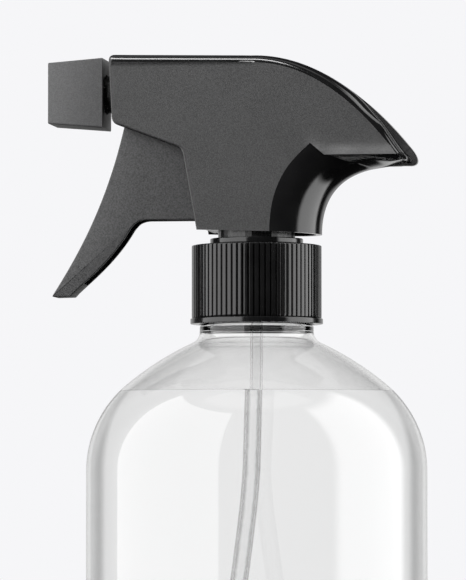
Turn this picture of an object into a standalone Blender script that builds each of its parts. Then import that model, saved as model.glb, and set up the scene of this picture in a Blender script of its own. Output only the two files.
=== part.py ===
"""Trigger spray bottle: a clear round-shoulder bottle with a 28 mm screw neck and a trigger sprayer head.

Metres, +Z up. The origin is the centre of the bottle's underside. The nozzle points along -X and the
tail of the head along +X. Every separate piece is one object, and pieces that move have their origin
on the axis of their joint.
"""
import math

import bmesh
import bpy
from mathutils import Matrix, Vector

MM = 0.001

# ---- driving dimensions ------------------------------------------------------------------------
# Bottle
BOTTLE_R = 42.6 * MM          # outer radius of the straight wall
BOTTLE_WALL = 1.0 * MM
BASE_WALL = 1.6 * MM
HEEL_R = 8.0 * MM             # rounding between wall and underside
SHOULDER_Z = 125.4 * MM       # where the straight wall ends and the shoulder begins
SHOULDER_R = 28.0 * MM        # lower shoulder arc
SHOULDER_TURN = math.radians(50.0)
UPPER_R = 75.0 * MM           # flatter arc above it
NECK_R = 14.25 * MM           # bead under the thread
NECK_FILLET_R = 3.0 * MM
BEAD_TOP_Z = 161.6 * MM
LIP_Z = 178.2 * MM            # top of the bottle's neck
THREAD_ROOT_R = 12.5 * MM
THREAD_CREST_R = 13.75 * MM
NECK_BORE_R = 10.9 * MM

# Screw thread of the neck and the closure: 6 turns per inch, right-handed
PITCH = 25.4 / 6 * MM
THREAD_TURNS = 1.5
THREAD_TOP_Z = 175.2 * MM     # centre of the neck's thread where it ends, below the lip

# Closure
CLOSURE_Z = 162.0 * MM        # its open bottom edge
CLOSURE_TOP_Z = 181.8 * MM
CLOSURE_ROOF = 1.35 * MM
RIB_COUNT = 72
RIB_R = 16.25 * MM
RIB_DEPTH = 0.5 * MM
FLANGE_R = 16.6 * MM
FLANGE_HEIGHT = 1.4 * MM
CLOSURE_BORE_R = 14.05 * MM
CLOSURE_HOLE_R = 9.95 * MM

# Head
HEAD_HALF = 11.7 * MM         # half the width of the shroud, and the radius of its round neck
SHROUD_WALL = 1.5 * MM
SPRAY_Z = 220.0 * MM          # axis of the barrel and the nozzle
PUMP_Z = 208.0 * MM           # axis of the pump cylinder
COLUMN_R = 9.65 * MM
FLANGE_Z = 179.4 * MM         # underside of the pump body's flange
GAP = 0.3 * MM                # space between pieces that touch

# Trigger
PIVOT = Vector((-27.0 * MM, 0.0, SPRAY_Z))
BAR = Vector((-19.0 * MM, 0.0, PUMP_Z))      # cross bar that drives the piston
TRIGGER_HALF = 4.3 * MM
TRIGGER_WALL = 1.1 * MM

# Pump
BORE_R = 6.3 * MM
CYLINDER_R = 7.5 * MM
CYLINDER_FRONT = -6.6 * MM
CYLINDER_BACK = 10.0 * MM
CHAMBER_END = 8.8 * MM
RISER_X = 2.0 * MM
RISER_R = 3.4 * MM

# Barrel, nose and nozzle cap, along -X
BARREL_R = 2.8 * MM
BARREL_BORE_R = 1.5 * MM
NOSE_BACK = -32.0 * MM
NOSE_FRONT = -47.0 * MM
NOSE_R = 4.7 * MM
NOSE_BORE_R = 3.3 * MM
VALVE_SEAT_X = -33.0 * MM
CAP_BACK = -38.0 * MM
CAP_FRONT = -51.9 * MM
CAP_HALF_WIDTH = 6.9 * MM
CAP_HALF_HEIGHT_FRONT = 7.65 * MM
CAP_HALF_HEIGHT_BACK = 8.75 * MM

# Dip tube
TUBE_R = 1.575 * MM
TUBE_BORE_R = 1.0 * MM
TUBE_ROUTE = [  # centre line, chosen by hand: straight out of the head, then an easy bend to the front
    (0.0, 0.0, 174.2), (0.0, 0.0, 160.0), (-0.1, 0.0, 148.0), (-0.5, 0.0, 138.0), (-1.1, 0.0, 122.0),
    (-2.2, 0.0, 108.0), (-3.8, 0.0, 92.0), (-6.4, 0.0, 72.0), (-9.8, 0.0, 50.0), (-13.6, 0.0, 28.0),
    (-17.4, 0.0, 7.0),
]

STEPS = 36                    # segments of a large round piece
SMALL_STEPS = 28              # segments of a small one


# ---- materials -----------------------------------------------------------------------------------
def plastic(name, colour, roughness, metallic=0.0, alpha=1.0, transmission=0.0):
    """A Principled BSDF material of one colour."""
    made = bpy.data.materials.new(name)
    made.use_nodes = True
    shader = made.node_tree.nodes["Principled BSDF"]
    shader.inputs["Base Color"].default_value = (*colour, 1.0)
    shader.inputs["Roughness"].default_value = roughness
    shader.inputs["Metallic"].default_value = metallic
    shader.inputs["Alpha"].default_value = alpha
    shader.inputs["Transmission Weight"].default_value = transmission
    return made


# ---- mesh helpers ----------------------------------------------------------------------------------
def new_object(name, points, faces, made_of=None, smooth=True):
    """An object from points and faces, with doubled points merged and faces turned outwards."""
    work = bmesh.new()
    corners = [work.verts.new(p) for p in points]
    for face in faces:
        work.faces.new([corners[i] for i in face])
    bmesh.ops.remove_doubles(work, verts=work.verts, dist=1e-6)
    bmesh.ops.dissolve_degenerate(work, edges=work.edges, dist=1e-7)
    bmesh.ops.recalc_face_normals(work, faces=work.faces)
    mesh = bpy.data.meshes.new(name)
    work.to_mesh(mesh)
    work.free()
    made = bpy.data.objects.new(name, mesh)
    bpy.context.scene.collection.objects.link(made)
    if made_of is not None:
        finish(made, made_of, smooth)
    return made


def finish(made, made_of, smooth=True):
    """Give an object its material and, where it is round, smooth shading with sharp edges."""
    made.data.materials.clear()
    made.data.materials.append(made_of)
    if smooth:
        made.data.shade_smooth()
        made.data.set_sharp_from_angle(angle=math.radians(30.0))


def combine(made, other, operation):
    """Apply an exact Boolean of two objects to the first one, as triangles, and remove the second."""
    step = made.modifiers.new(operation.lower(), "BOOLEAN")
    step.operation = operation
    step.solver = "EXACT"
    step.object = other
    bpy.context.view_layer.update()
    shaped = bpy.data.meshes.new_from_object(made.evaluated_get(bpy.context.evaluated_depsgraph_get()))
    work = bmesh.new()
    work.from_mesh(shaped)
    bmesh.ops.triangulate(work, faces=work.faces)
    bmesh.ops.dissolve_degenerate(work, edges=work.edges, dist=1e-6)
    work.to_mesh(shaped)
    work.free()
    made.modifiers.clear()
    made.data = shaped
    bpy.data.objects.remove(other)
    return made


def cut(made, *others):
    for other in others:
        combine(made, other, "DIFFERENCE")
    return made


def unite(made, *others):
    for other in others:
        combine(made, other, "UNION")
    return made


def put_origin(made, point):
    """Move an object's origin to a point, and leave its shape where it is."""
    made.data.transform(Matrix.Translation(-Vector(point)))
    made.location = point
    return made


def turned(name, profile, axis="Z", centre=(0.0, 0.0), steps=STEPS, start=0.0, made_of=None):
    """A solid of revolution from a closed profile of (radius, height) points.

    Along Z the centre is (x, y). Along X or Y the height runs along that axis and the centre is (y, z)
    or (x, z).
    """
    rings = []
    points = []
    for radius, height in profile:
        ring = []
        for k in range(steps if radius > 1e-9 else 1):
            turn = start + 2 * math.pi * k / steps
            across, up = radius * math.cos(turn), radius * math.sin(turn)
            if axis == "Z":
                point = (centre[0] + across, centre[1] + up, height)
            elif axis == "X":
                point = (height, centre[0] + across, centre[1] + up)
            else:
                point = (centre[0] + across, height, centre[1] + up)
            ring.append(len(points))
            points.append(point)
        rings.append(ring)
    faces = []
    for i, low in enumerate(rings):
        high = rings[(i + 1) % len(rings)]
        if len(low) == 1 and len(high) == 1:
            continue
        for k in range(steps):
            n = (k + 1) % steps
            if len(low) == 1:
                faces.append((low[0], high[n], high[k]))
            elif len(high) == 1:
                faces.append((low[k], low[n], high[0]))
            else:
                faces.append((low[k], low[n], high[n], high[k]))
    return new_object(name, points, faces, made_of)


def rod(name, radius, low, high, axis="Z", centre=(0.0, 0.0), steps=SMALL_STEPS):
    """A plain solid cylinder between two heights."""
    return turned(name, [(0.0, low), (radius, low), (radius, high), (0.0, high)], axis, centre, steps)


def prism(name, outline, low, high, axis="Y", made_of=None):
    """An outline of (x, z) points extruded along Y, or of (x, y) points extruded along Z."""
    count = len(outline)
    points = []
    for level in (low, high):
        for a, b in outline:
            points.append((a, level, b) if axis == "Y" else (a, b, level))
    faces = [tuple(range(count)), tuple(range(2 * count - 1, count - 1, -1))]
    for i in range(count):
        n = (i + 1) % count
        faces.append((i, n, count + n, count + i))
    return new_object(name, points, faces, made_of)


def loft(name, sections, made_of=None):
    """A closed solid through rings of points that match one another."""
    count = len(sections[0])
    points = [point for section in sections for point in section]
    faces = [tuple(range(count)), tuple(range(len(points) - 1, len(points) - count - 1, -1))]
    for s in range(len(sections) - 1):
        for i in range(count):
            n = (i + 1) % count
            faces.append((s * count + i, s * count + n, (s + 1) * count + n, (s + 1) * count + i))
    return new_object(name, points, faces, made_of)


def rings_along(path, radius, sides):
    """Rings of points around a path, each square to it, without twist."""
    across = None
    rings = []
    for i, here in enumerate(path):
        ahead = (path[min(i + 1, len(path) - 1)] - path[max(i - 1, 0)]).normalized()
        if across is None:
            across = ahead.orthogonal().normalized()
        across = (across - ahead * across.dot(ahead)).normalized()
        side = ahead.cross(across)
        ring = []
        for k in range(sides):
            turn = 2 * math.pi * k / sides
            ring.append(here + radius * (math.cos(turn) * across + math.sin(turn) * side))
        rings.append(ring)
    return rings


# ---- curve helpers ------------------------------------------------------------------------------
def mm_points(*pairs):
    return [(a * MM, b * MM) for a, b in pairs]


def arc(centre, radius, start, end, count):
    """Points on a circle from one angle to another, in degrees."""
    points = []
    for i in range(count + 1):
        turn = math.radians(start + (end - start) * i / count)
        points.append((centre[0] + radius * math.cos(turn), centre[1] + radius * math.sin(turn)))
    return points


def bezier(a, b, c, d, count):
    """Points on a cubic curve with end points a and d and handles b and c."""
    points = []
    for i in range(count + 1):
        t = i / count
        weights = ((1 - t) ** 3, 3 * (1 - t) ** 2 * t, 3 * (1 - t) * t * t, t ** 3)
        points.append(tuple(sum(w * p[k] for w, p in zip(weights, (a, b, c, d))) for k in range(2)))
    return points


def smooth_route(route, per_span):
    """A Catmull-Rom curve through the route's own points."""
    knots = [Vector(p) * MM for p in route]
    knots = [2 * knots[0] - knots[1]] + knots + [2 * knots[-1] - knots[-2]]
    points = []
    for i in range(1, len(knots) - 2):
        p0, p1, p2, p3 = knots[i - 1:i + 3]
        for k in range(per_span):
            t = k / per_span
            points.append(0.5 * (2 * p1 + (p2 - p0) * t + (2 * p0 - 5 * p1 + 4 * p2 - p3) * t * t
                                 + (3 * p1 - p0 - 3 * p2 + p3) * t ** 3))
    points.append(knots[-2])
    return points


# ---- bottle ------------------------------------------------------------------------------------------
def bottle_skin(inset, floor, heel_start):
    """The (radius, height) line of the bottle's skin, from the axis up to the neck's bead.

    The heel's rounding leaves the floor at the angle heel_start.
    """
    low_centre = (BOTTLE_R - SHOULDER_R, SHOULDER_Z)
    turn = SHOULDER_TURN
    reach = UPPER_R - SHOULDER_R
    high_centre = (low_centre[0] - reach * math.cos(turn), low_centre[1] - reach * math.sin(turn))
    fillet_x = NECK_R + NECK_FILLET_R
    fillet_z = high_centre[1] + math.sqrt((UPPER_R + NECK_FILLET_R) ** 2 - (fillet_x - high_centre[0]) ** 2)
    meet = math.degrees(math.atan2(fillet_z - high_centre[1], fillet_x - high_centre[0]))
    line = [(0.0, floor)]
    line += arc((BOTTLE_R - HEEL_R, HEEL_R), HEEL_R - inset, heel_start, 0, 4)
    line += arc(low_centre, SHOULDER_R - inset, 0, math.degrees(turn), 4)
    line += arc(high_centre, UPPER_R - inset, math.degrees(turn), meet, 3)[1:]
    line += arc((fillet_x, fillet_z), NECK_FILLET_R + inset, meet + 180, 180, 2)[1:]
    return line


def thread_ridge(name, root_r, crest_r, root_half, crest_half, z_start, angle_start, turns):
    """A helical ridge of trapezoid section with tapered ends, right-handed."""
    per_turn = 24
    count = int(round(turns * per_turn))
    sections = []
    for i in range(count + 1):
        share = min(1.0, 0.25 + 0.75 * min(i, count - i) / 3)
        angle = angle_start + 2 * math.pi * i / per_turn
        z = z_start + PITCH * i / per_turn
        crest = root_r + (crest_r - root_r) * share
        section = []
        for radius, height in ((root_r, -root_half), (crest, -crest_half), (crest, crest_half),
                               (root_r, root_half)):
            section.append((radius * math.cos(angle), radius * math.sin(angle), z + height))
        sections.append(section)
    return loft(name, sections)


def make_bottle(made_of):
    """The blown bottle: one closed wall from underside to lip, with the neck's thread."""
    outside = bottle_skin(0.0, 0.0, -90)
    outside += [(NECK_R, BEAD_TOP_Z), (THREAD_ROOT_R, BEAD_TOP_Z), (THREAD_ROOT_R, LIP_Z)]
    inside = bottle_skin(BOTTLE_WALL, BASE_WALL, -84)
    inside[1] = (inside[1][0], BASE_WALL)
    inside[-1] = (NECK_BORE_R, BEAD_TOP_Z - BOTTLE_WALL)
    inside += [(NECK_BORE_R, LIP_Z)]
    body = turned("bottle", outside + inside[::-1])
    z_start = THREAD_TOP_Z - THREAD_TURNS * PITCH
    ridge = thread_ridge("neck_thread", THREAD_ROOT_R - GAP, THREAD_CREST_R, 1.2 * MM, 0.6 * MM,
                         z_start, 0.0, THREAD_TURNS)
    unite(body, ridge)
    finish(body, made_of)
    return body


# ---- closure and the pieces at the neck -----------------------------------------------------------
def make_closure(made_of):
    """Ribbed screw cap with an inside thread and a round hole in its roof."""
    per_ring = 2 * RIB_COUNT
    roof_under = CLOSURE_TOP_Z - CLOSURE_ROOF
    valley = RIB_R - RIB_DEPTH
    levels = [
        (CLOSURE_BORE_R, CLOSURE_BORE_R, CLOSURE_Z), (FLANGE_R, FLANGE_R, CLOSURE_Z),
        (FLANGE_R, FLANGE_R, CLOSURE_Z + FLANGE_HEIGHT), (RIB_R, valley, CLOSURE_Z + FLANGE_HEIGHT),
        (RIB_R, valley, CLOSURE_TOP_Z - RIB_DEPTH), (valley - GAP, valley - GAP, CLOSURE_TOP_Z),
        (CLOSURE_HOLE_R, CLOSURE_HOLE_R, CLOSURE_TOP_Z), (CLOSURE_HOLE_R, CLOSURE_HOLE_R, roof_under),
        (CLOSURE_BORE_R, CLOSURE_BORE_R, roof_under),
    ]
    points = []
    for peak, dip, z in levels:
        for k in range(per_ring):
            turn = 2 * math.pi * k / per_ring
            radius = peak if k % 2 == 0 else dip
            points.append((radius * math.cos(turn), radius * math.sin(turn), z))
    faces = []
    for i in range(len(levels)):
        j = (i + 1) % len(levels)
        for k in range(per_ring):
            n = (k + 1) % per_ring
            faces.append((i * per_ring + k, i * per_ring + n, j * per_ring + n, j * per_ring + k))
    cap = new_object("closure", points, faces)
    z_start = THREAD_TOP_Z - THREAD_TURNS * PITCH - PITCH / 2
    first = math.radians(30.0)
    ridge = thread_ridge("closure_thread", CLOSURE_BORE_R + GAP, 12.85 * MM, 0.85 * MM, 0.45 * MM,
                         z_start + PITCH * first / (2 * math.pi), first, 0.875)
    unite(cap, ridge)
    finish(cap, made_of)
    put_origin(cap, (0.0, 0.0, CLOSURE_Z))
    return cap


def make_retaining_ring(made_of):
    """Ring clipped on the pump body's column, just above the closure."""
    inner, outer = COLUMN_R + GAP, 11.65 * MM
    low, high = CLOSURE_TOP_Z + 0.15 * MM, 183.4 * MM
    return turned("retaining_ring", [(inner, low), (outer, low), (outer, high), (inner, high)],
                  made_of=made_of)


def make_neck_gasket(made_of):
    """Soft washer between the bottle's lip and the pump body's flange."""
    low, high = LIP_Z + 0.15 * MM, FLANGE_Z - 0.15 * MM
    inner, outer = NECK_BORE_R - 0.2 * MM, THREAD_ROOT_R - 0.1 * MM
    return turned("neck_gasket", [(inner, low), (outer, low), (outer, high), (inner, high)],
                  made_of=made_of)


# ---- pump body -----------------------------------------------------------------------------------
def deck_outline():
    """The plate that closes the shroud's neck: straight sides and a round back."""
    half = HEAD_HALF - SHROUD_WALL - GAP
    back_x = 4.7 * MM
    return [(-12.0 * MM, half), (-12.0 * MM, -half)] + arc((back_x, 0.0), half, -90, 90, 10)


def make_pump_body(made_of):
    """One moulding: neck flange, column, deck, riser, pump cylinder, barrel, nose and trunnions."""
    column_top = 186.2 * MM
    hub_r, hub_low = 5.6 * MM, 169.0 * MM
    flange_top = CLOSURE_TOP_Z - CLOSURE_ROOF - 0.15 * MM
    body = turned("pump_body", [
        (0.0, hub_low), (hub_r, hub_low), (hub_r, FLANGE_Z), (12.7 * MM, FLANGE_Z),
        (12.7 * MM, flange_top), (COLUMN_R, flange_top), (COLUMN_R, column_top), (0.0, column_top)])
    deck = prism("deck", deck_outline(), 185.4 * MM, 186.8 * MM, axis="Z")
    riser = rod("riser", RISER_R, 185.9 * MM, 202.0 * MM, centre=(RISER_X, 0.0), steps=24)
    cylinder = rod("cylinder", CYLINDER_R, CYLINDER_FRONT, CYLINDER_BACK, "X", (0.0, PUMP_Z), 40)
    passage_x = 7.2 * MM
    passage = rod("passage", 2.4 * MM, 214.0 * MM, SPRAY_Z, centre=(passage_x, 0.0), steps=20)
    web = prism("web", mm_points((-6.0, 214.5), (9.4, 214.5), (9.4, 218.5), (-6.0, 218.5)),
                -0.8 * MM, 0.8 * MM)
    bead_r = 5.25 * MM
    groove_r = 3.95 * MM
    barrel = turned("barrel", [
        (0.0, 9.8 * MM), (BARREL_R, 9.8 * MM), (BARREL_R, NOSE_BACK), (NOSE_R, NOSE_BACK),
        (NOSE_R, -40.3 * MM), (bead_r, -40.5 * MM), (bead_r, -41.0 * MM), (NOSE_R, -41.2 * MM),
        (NOSE_R, -43.3 * MM), (groove_r, -43.3 * MM), (groove_r, -44.7 * MM), (NOSE_R, -44.7 * MM),
        (NOSE_R, NOSE_FRONT), (0.0, NOSE_FRONT)], "X", (0.0, SPRAY_Z), SMALL_STEPS)
    trunnions = rod("trunnions", 1.7 * MM, -4.6 * MM, 4.6 * MM, "Y", (PIVOT.x, PIVOT.z), 20)
    unite(body, deck, riser, cylinder, passage, web, barrel, trunnions)

    bore = rod("bore", BORE_R, -8.0 * MM, CHAMBER_END, "X", (0.0, PUMP_Z), 40)
    flow = rod("flow", BARREL_BORE_R, -34.0 * MM, 8.4 * MM, "X", (0.0, SPRAY_Z), 16)
    nose_bore = rod("nose_bore", NOSE_BORE_R, -49.0 * MM, VALVE_SEAT_X, "X", (0.0, SPRAY_Z), 28)
    socket = rod("socket", 4.3 * MM, 160.0 * MM, 182.8 * MM, steps=28)
    inlet = rod("inlet", 1.2 * MM, 182.0 * MM, 203.5 * MM, centre=(RISER_X, 0.0), steps=16)
    outlet = rod("outlet", 1.1 * MM, 212.5 * MM, 219.6 * MM, centre=(passage_x, 0.0), steps=14)
    vent = rod("vent", 0.7 * MM, 175.0 * MM, 190.0 * MM, centre=(7.6 * MM, 0.0), steps=12)
    cut(body, flow, nose_bore, socket, inlet, outlet, vent, bore)
    finish(body, made_of)
    return body


def make_tube_retainer(made_of):
    """Insert in the pump body's socket: it grips the dip tube, and its cone is the inlet ball's seat."""
    return turned("tube_retainer", mm_points(
        (1.88, 167.0), (5.4, 167.0), (5.4, 168.6), (4.0, 168.6), (4.0, 182.4), (2.6, 182.4), (2.6, 178.0),
        (1.0, 176.5), (1.0, 174.6), (1.88, 174.6)), steps=28, made_of=made_of)


def ball(name, radius, centre, made_of):
    """A ball as a turned half circle."""
    profile = [(radius * math.cos(math.radians(a)), centre.z + radius * math.sin(math.radians(a)))
               for a in range(-90, 91, 20)]
    profile[0] = (0.0, profile[0][1])
    profile[-1] = (0.0, profile[-1][1])
    made = turned(name, profile, centre=(centre.x, centre.y), steps=16, made_of=made_of)
    return put_origin(made, centre)


def make_dip_tube(made_of):
    """Hollow tube along its route, open at both ends."""
    sides = 10
    path = smooth_route(TUBE_ROUTE, 2)
    outer = rings_along(path, TUBE_R, sides)
    inner = rings_along(path, TUBE_BORE_R, sides)
    loops = outer + inner[::-1]
    points = [point for ring in loops for point in ring]
    faces = []
    for s in range(len(loops)):
        t = (s + 1) % len(loops)
        for k in range(sides):
            n = (k + 1) % sides
            faces.append((s * sides + k, s * sides + n, t * sides + n, t * sides + k))
    return new_object("dip_tube", points, faces, made_of)


# ---- shroud ------------------------------------------------------------------------------------------
def neck_curve(count):
    """Back line of the shroud's neck in the side view, from its bottom up to the underside of the tail."""
    return bezier(*mm_points((16.43, 184.3), (16.43, 201.2), (31.5, 201.4), (38.5, 201.3)), count)


def shroud_stations():
    """Pairs (outline point, side-face edge point, half-width of the outline's flat), front round to back."""
    stations = []

    def add(outline, inner, flats):
        for point, match, flat in zip(outline, inner, flats):
            stations.append((point, match, flat * MM))

    plain = 11.4
    front = mm_points((-13.6, 185.2), (-17.1, 204.4), (-17.6, 205.6), (-18.7, 206.3), (-33.9, 211.6),
                      (-35.2, 212.6), (-35.8, 214.2), (-35.8, 228.4), (-35.0, 229.1))
    front_in = mm_points((-13.2, 185.2), (-16.7, 204.6), (-17.3, 206.0), (-18.5, 206.75), (-33.8, 212.0),
                         (-34.9, 212.9), (-35.4, 214.3), (-35.4, 227.1), (-35.1, 227.3))
    add(front, front_in, [plain] * 6 + [plain] * 2 + [10.5])
    top = mm_points((-24.0, 228.9), (-12.0, 228.7))
    top_in = mm_points((-24.0, 227.1), (-12.0, 226.9))
    add(top, top_in, [10.5, 10.5])
    rise = 14
    back = bezier(*mm_points((0.0, 228.5), (20.0, 229.0), (34.75, 210.85), (38.8, 205.95)), rise)
    back_in = bezier(*mm_points((0.0, 226.7), (18.2, 226.9), (31.2, 210.2), (36.4, 203.5)), rise)
    add(back, back_in, [10.5 - 9.3 * (i / rise) ** 1.5 for i in range(rise + 1)])
    tip = mm_points((40.4, 203.9), (40.7, 202.5), (39.9, 201.5))
    add(tip, mm_points(*[(36.4, 203.5)] * 3), [1.2] * 3)
    count = 14
    under = neck_curve(count)[::-1]
    corner = 5
    under_in = []
    flats = []
    neck_in = bezier(*mm_points((14.85, 206.5), (11.6, 203.4), (4.66, 198.5), (4.66, 184.66)), count - corner)
    for i in range(corner):
        share = i / (corner - 1)
        under_in.append(((36.4 - 18.0 * share) * MM, 203.5 * MM))
        flats.append(1.2 * (1.0 - share))
    under_in += neck_in
    flats += [0.0] * len(neck_in)
    add(under, under_in, flats)
    return stations


def banded_solid(name, stations, half, turns):
    """A solid whose sides are flat and whose rim is rounded from each side edge to the outline."""
    rows_per_station = 2 * (turns + 1)
    points = []
    for outline, match, flat in stations:
        line = []
        for k in range(turns + 1):
            angle = math.pi / 2 * (1 - k / turns)
            share = 1.0 - math.cos(angle)
            x = outline[0] + (match[0] - outline[0]) * share
            z = outline[1] + (match[1] - outline[1]) * share
            line.append((x, flat + (half - flat) * math.sin(angle), z))
        points += [(x, -y, z) for x, y, z in line] + line[::-1]
    faces = []
    for s in range(len(stations) - 1):
        for k in range(rows_per_station - 1):
            a = s * rows_per_station + k
            faces.append((a, a + 1, a + 1 + rows_per_station, a + rows_per_station))
    starts = [s * rows_per_station for s in range(len(stations))]
    faces.append(tuple(starts[::-1]))
    faces.append(tuple(s + rows_per_station - 1 for s in starts))
    last = starts[-1]
    bottom = list(range(rows_per_station))
    bottom += [last + k for k in range(rows_per_station - 1, -1, -1)]
    faces.append(tuple(bottom[::-1]))
    return new_object(name, points, faces)


def neck_cavity():
    """Half-round hollow of the shroud's neck, from below its bottom up into the head."""
    half = HEAD_HALF - SHROUD_WALL
    count = 14
    outline = neck_curve(count)[:9]
    edge = bezier(*mm_points((4.66, 184.66), (4.66, 198.5), (11.6, 203.4), (14.85, 206.5)), 8)
    sections = []
    for (ox, oz), (mx, mz) in zip(outline, edge):
        away = Vector((mx - ox, mz - oz))
        length = away.length
        away.normalize()
        section = []
        for k in range(13):
            turn = math.pi * (k / 12 - 0.5)
            reach = length - (length - SHROUD_WALL) * math.cos(turn)
            section.append((ox + away.x * reach, half * math.sin(turn), oz + away.y * reach))
        for y in (half, -half):
            section.append((mx + away.x * 2.0 * MM, y, mz + away.y * 2.0 * MM))
        sections.append(section)
    below = [(x, y, z - 8.0 * MM) for x, y, z in sections[0]]
    return loft("neck_cavity", [below] + sections)


def make_shroud(made_of):
    """Hollow cover of the head, open below and in front of its neck for the trigger."""
    cover = banded_solid("shroud", shroud_stations(), HEAD_HALF, 4)
    half = HEAD_HALF - SHROUD_WALL
    outline = mm_points((-34.3, 176.0), (-34.3, 227.4), (0.0, 226.9))
    outline += bezier(*mm_points((0.0, 226.9), (13.0, 226.2), (24.0, 214.5), (29.0, 208.0)), 8)[1:]
    outline += mm_points((29.4, 205.6), (19.4, 205.2), (14.4, 208.4), (10.2, 204.6), (6.6, 199.6),
                         (5.0, 194.0), (4.4, 186.0), (4.4, 176.0))
    head_cavity = prism("head_cavity", outline, -half, half)
    slot_half = NOSE_R + 0.4 * MM
    nose_slot = prism("nose_slot", mm_points((-37.0, 205.0), (-33.0, 205.0), (-33.0, 220.0), (-37.0, 220.0)),
                      -slot_half, slot_half)
    nose_hole = rod("nose_hole", slot_half, -37.2 * MM, -32.8 * MM, "X", (0.0, SPRAY_Z), 28)
    cut(cover, head_cavity, neck_cavity(), unite(nose_slot, nose_hole))
    finish(cover, made_of)
    return cover


# ---- trigger and piston -----------------------------------------------------------------------------
def make_trigger(made_of):
    """Finger lever: a channel of two side plates and a front wall, hung on the barrel's trunnions."""
    ear_r = 3.4 * MM
    front = bezier(*mm_points((-32.6, 213.0), (-37.35, 191.5), (-45.3, 178.4), (-51.3, 169.0)), 12)
    back = bezier(*mm_points((-46.5, 169.1), (-44.6, 171.6), (-36.7, 176.8), (-31.3, 186.0)), 6)
    outline = arc((PIVOT.x, PIVOT.z), ear_r, 0, 180, 8)
    outline += mm_points((-31.3, 215.8))
    outline += front + back
    outline += mm_points((-29.9, 187.6), (-28.0, 188.2), (-13.9, 188.2), (-15.0, 194.7), (-16.2, 204.0),
                         (-16.6, 209.2), (-19.2, 212.6))
    lever = prism("trigger", outline, -TRIGGER_HALF, TRIGGER_HALF)
    wall = 1.9 * MM
    shifted = [(x + wall, z) for x, z in front if z > 172.5 * MM]
    channel = [(shifted[0][0], 214.6 * MM)] + shifted
    channel += mm_points((-42.0, 172.0), (-40.0, 165.0), (-5.0, 165.0), (-5.0, 230.0), (-45.0, 230.0),
                         (-45.0, 214.6))
    inner = TRIGGER_HALF - TRIGGER_WALL
    cut(lever, prism("channel", channel, -inner, inner))
    cut(lever, rod("ear_holes", 2.0 * MM, -6.0 * MM, 6.0 * MM, "Y", (PIVOT.x, PIVOT.z), 20))
    reach = inner + 0.6 * MM
    unite(lever, rod("bar", 1.3 * MM, -reach, reach, "Y", (BAR.x, BAR.z), 16))
    finish(lever, made_of)
    put_origin(lever, PIVOT)
    return lever


def make_piston(made_of):
    """Plunger: grooved head in the cylinder, rod, and a slotted block that takes the trigger's bar."""
    head_r, groove_r = 5.9 * MM, 4.8 * MM
    profile = [(0.0, -16.2 * MM), (2.4 * MM, -16.2 * MM), (2.4 * MM, -6.2 * MM)]
    for radius, x in ((head_r, -6.2), (head_r, -5.8), (groove_r, -5.8), (groove_r, -4.8), (head_r, -4.8),
                      (head_r, -3.7), (groove_r, -3.7), (groove_r, -2.7), (head_r, -2.7), (head_r, -2.3)):
        profile.append((radius, x * MM))
    profile.append((0.0, -2.3 * MM))
    plunger = turned("piston", profile, "X", (0.0, PUMP_Z), 28)
    block = prism("block", mm_points((-22.6, 205.2), (-15.4, 205.2), (-15.4, 214.6), (-22.6, 214.6)),
                  -2.7 * MM, 2.7 * MM)
    slot = prism("slot", mm_points((-20.8, 206.2), (-17.2, 206.2), (-17.2, 213.4), (-20.8, 213.4)),
                 -4.0 * MM, 4.0 * MM)
    unite(plunger, block)
    cut(plunger, slot)
    finish(plunger, made_of)
    put_origin(plunger, (CYLINDER_FRONT, 0.0, PUMP_Z))
    return plunger


def piston_ring(name, x, made_of):
    """Soft ring in one of the piston's grooves."""
    inner, outer, half = 4.9 * MM, 6.2 * MM, 0.4 * MM
    ring = turned(name, [(inner, x - half), (outer, x - half), (outer, x + half), (inner, x + half)],
                  "X", (0.0, PUMP_Z), 28, made_of=made_of)
    return put_origin(ring, (CYLINDER_FRONT, 0.0, PUMP_Z))


def coil(name, start, end, z, radius, wire_r, turns, sides, made_of):
    """A round-wire spring along X."""
    per_turn = 12
    count = int(turns * per_turn)
    first, last = start + wire_r, end - wire_r
    path = []
    for i in range(count + 1):
        angle = 2 * math.pi * i / per_turn
        path.append(Vector((first + (last - first) * i / count, radius * math.cos(angle),
                            z + radius * math.sin(angle))))
    return loft(name, rings_along(path, wire_r, sides), made_of)


# ---- nozzle ------------------------------------------------------------------------------------------
def make_outlet_valve(made_of):
    """Poppet that rests on the seat at the end of the barrel's bore."""
    made = turned("outlet_valve", mm_points(
        (0.0, -32.4), (1.1, -33.15), (2.7, -33.15), (2.7, -34.2), (0.9, -34.2), (0.9, -37.5), (0.0, -37.5)),
        "X", (0.0, SPRAY_Z), 20, made_of=made_of)
    return put_origin(made, (VALVE_SEAT_X, 0.0, SPRAY_Z))


def make_swirl_insert(made_of):
    """Spinner fixed in the mouth of the nose: grooves along its side turn the flow at its front face."""
    body = turned("swirl_insert", mm_points(
        (0.0, -42.8), (3.0, -42.8), (3.0, -47.6), (1.9, -48.6), (0.0, -48.6)), "X", (0.0, SPRAY_Z), 24)
    for side in (-1, 1):
        groove = prism("groove", mm_points((-50.0, 219.5), (-42.0, 219.5), (-42.0, 220.5), (-50.0, 220.5)),
                       *sorted((side * 2.2 * MM, side * 4.0 * MM)))
        cut(body, groove)
    finish(body, made_of)
    return body


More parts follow.
